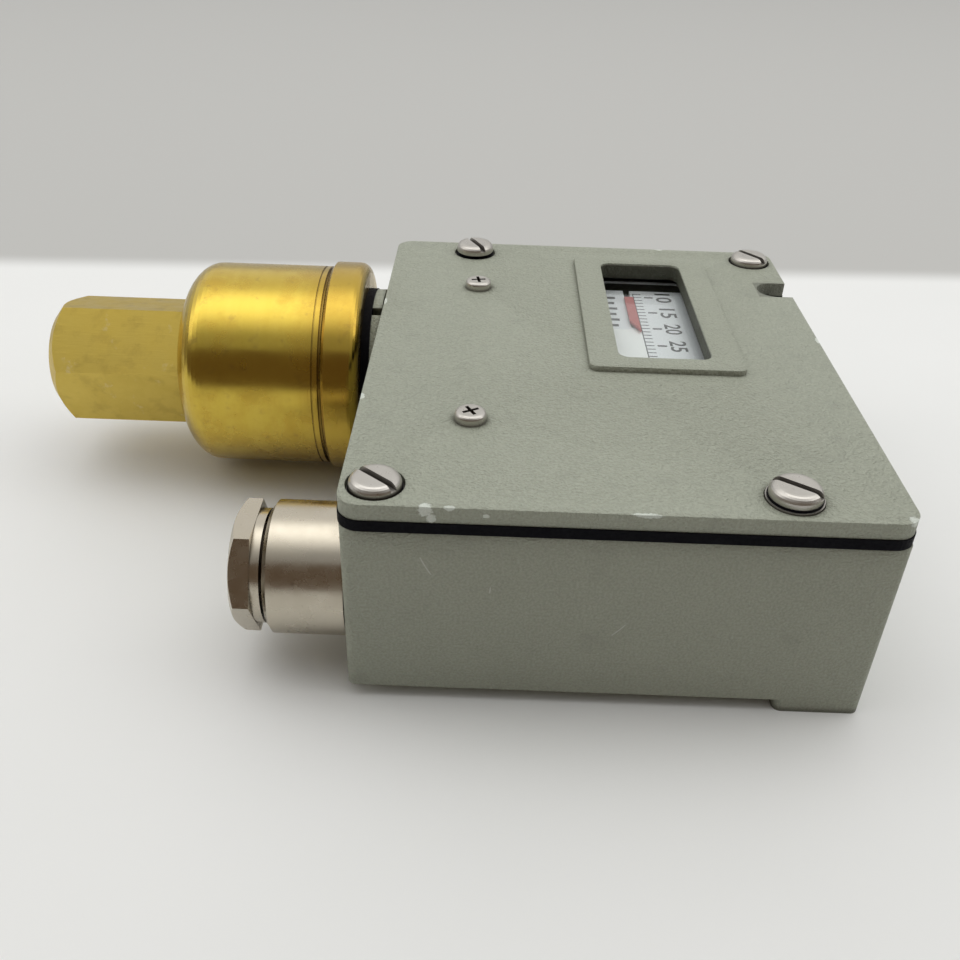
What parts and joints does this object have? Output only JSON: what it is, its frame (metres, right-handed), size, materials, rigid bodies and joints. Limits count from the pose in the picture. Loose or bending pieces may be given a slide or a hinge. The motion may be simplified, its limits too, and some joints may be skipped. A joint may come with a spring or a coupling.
{
  "type": "pressure switch",
  "caption": "Industrial pressure switch: box case with windowed scale cover, brass bellows sensor with hexagonal threaded port and cable gland on one side.",
  "frame": {"origin": "centre of the four rear fixing holes, on the plane of the rear feet", "axes": "+Z out through the cover, +X away from the sensor and gland, +Y towards the sensor side edge; the case lies on its back"},
  "size_m": [0.1759, 0.1204, 0.0504],
  "materials": {
    "case_paint": "fine-textured grey-green stove enamel on a die casting",
    "black_rubber": "matt moulded rubber",
    "nickel_screw": "bright nickel plating, lightly scuffed",
    "window_acrylic": "clear acrylic",
    "steel": "plain zinc-plated steel",
    "spring_steel": "drawn spring wire",
    "yellow_zinc": "yellow passivated zinc plating",
    "black_plastic": "moulded phenolic",
    "spun_brass": "spun and dipped brass with turning marks",
    "machined_brass": "machined brass, mottled",
    "plain_brass": "machined brass",
    "red_paint": "red lacquer",
    "scale_white": "white lacquered plate with a printed scale",
    "plunger_plastic": "moulded plastic",
    "lead_insulation": "flexible insulation",
    "nickel_brass": "satin nickel plating on brass"
  },
  "bodies": {
    "case": {"housing": "case_paint", "cover_gasket": "black_rubber", "sensor_port": "machined_brass", "sensor_can": "spun_brass", "sensor_base": "spun_brass", "sensor_seal": "black_rubber", "sensor_lock_nut": "plain_brass", "rod_bush": "plain_brass", "bellows": "plain_brass", "mechanism_frame": "yellow_zinc", "frame_screws": "steel", "lever_pin": "steel", "lever_clip": "steel", "range_spring": "spring_steel", "scale_plate": "scale_white", "scale_posts": "yellow_zinc", "scale_screws": "steel", "differential_spring": "spring_steel", "microswitch": "black_plastic", "switch_terminals": "plain_brass", "switch_screws": "steel", "terminal_block": "black_plastic", "terminal_clamps": "plain_brass", "terminal_screws": "steel", "block_screws": "steel", "switch_leads": "lead_insulation", "earth_screw": "plain_brass", "earth_washer": "yellow_zinc", "gland_body": "nickel_brass", "gland_washer": "black_rubber", "gland_seal": "black_rubber", "gland_ring": "steel", "gland_nut": "nickel_brass"},
    "cover": {"cover": "case_paint", "cover_screws": "nickel_screw", "cover_screw_washers": "nickel_screw", "cover_screw_seals": "black_rubber", "window_pane": "window_acrylic", "window_seal": "black_rubber", "window_retainer": "steel", "retainer_screws": "steel", "insulating_shield": "black_plastic", "shield_screws": "nickel_screw", "shield_nuts": "steel"},
    "thrust_rod": {"thrust_rod": "steel", "bellows_head": "plain_brass"},
    "lever": {"lever": "steel"},
    "switch_plunger": {"switch_plunger": "plunger_plastic"},
    "spindle": {"adjusting_spindle": "steel", "adjusting_wheel": "yellow_zinc", "spindle_clip": "steel"},
    "pointer_carriage": {"spring_nut": "plain_brass", "pointer": "red_paint"},
    "differential_knob": {"differential_knob": "plain_brass"},
    "differential_nut": {"differential_nut": "plain_brass"}
  },
  "joints": [
    {"name": "cover_lift", "type": "slide", "parent": "case", "child": "cover", "axis": [0, 0, 1], "range_m": [0, 0.06]},
    {"name": "rod_slide", "type": "slide", "parent": "case", "child": "thrust_rod", "axis": [1, 0, 0], "range_m": [0, 0.0008], "stiffness_N_per_m": 3000, "deforming": ["bellows"]},
    {"name": "lever_turn", "type": "hinge", "parent": "case", "child": "lever", "pos_m": [-0.029, 0.006, 0.025], "axis": [0, 0, 1], "range_deg": [-2.45, 0.05]},
    {"name": "plunger_slide", "type": "slide", "parent": "case", "child": "switch_plunger", "axis": [-1, 0, 0], "range_m": [0, 0.0012]},
    {"name": "spindle_turn", "type": "hinge", "parent": "case", "child": "spindle", "pos_m": [0.0105, 0.04, 0.025], "axis": [0, 1, 0], "range_deg": [-4340, 1820]},
    {"name": "pointer_slide", "type": "slide", "parent": "case", "child": "pointer_carriage", "axis": [0, 1, 0], "range_m": [-0.012, 0.005], "deforming": ["range_spring"]},
    {"name": "knob_turn", "type": "hinge", "parent": "case", "child": "differential_knob", "pos_m": [0.005, -0.03, 0.025], "axis": [0, 1, 0], "range_deg": [-1090, 10]},
    {"name": "differential_slide", "type": "slide", "parent": "case", "child": "differential_nut", "axis": [0, 1, 0], "range_m": [-0.003, 0], "deforming": ["differential_spring"]}
  ],
  "couplings": [
    {"joint": "lever_turn", "follows": "rod_slide", "rad_per_m": -52.083},
    {"joint": "plunger_slide", "follows": "rod_slide", "ratio": 1.4583},
    {"joint": "spindle_turn", "follows": "pointer_slide", "rad_per_m": 6283.2},
    {"joint": "knob_turn", "follows": "differential_slide", "rad_per_m": 6283.2}
  ]
}
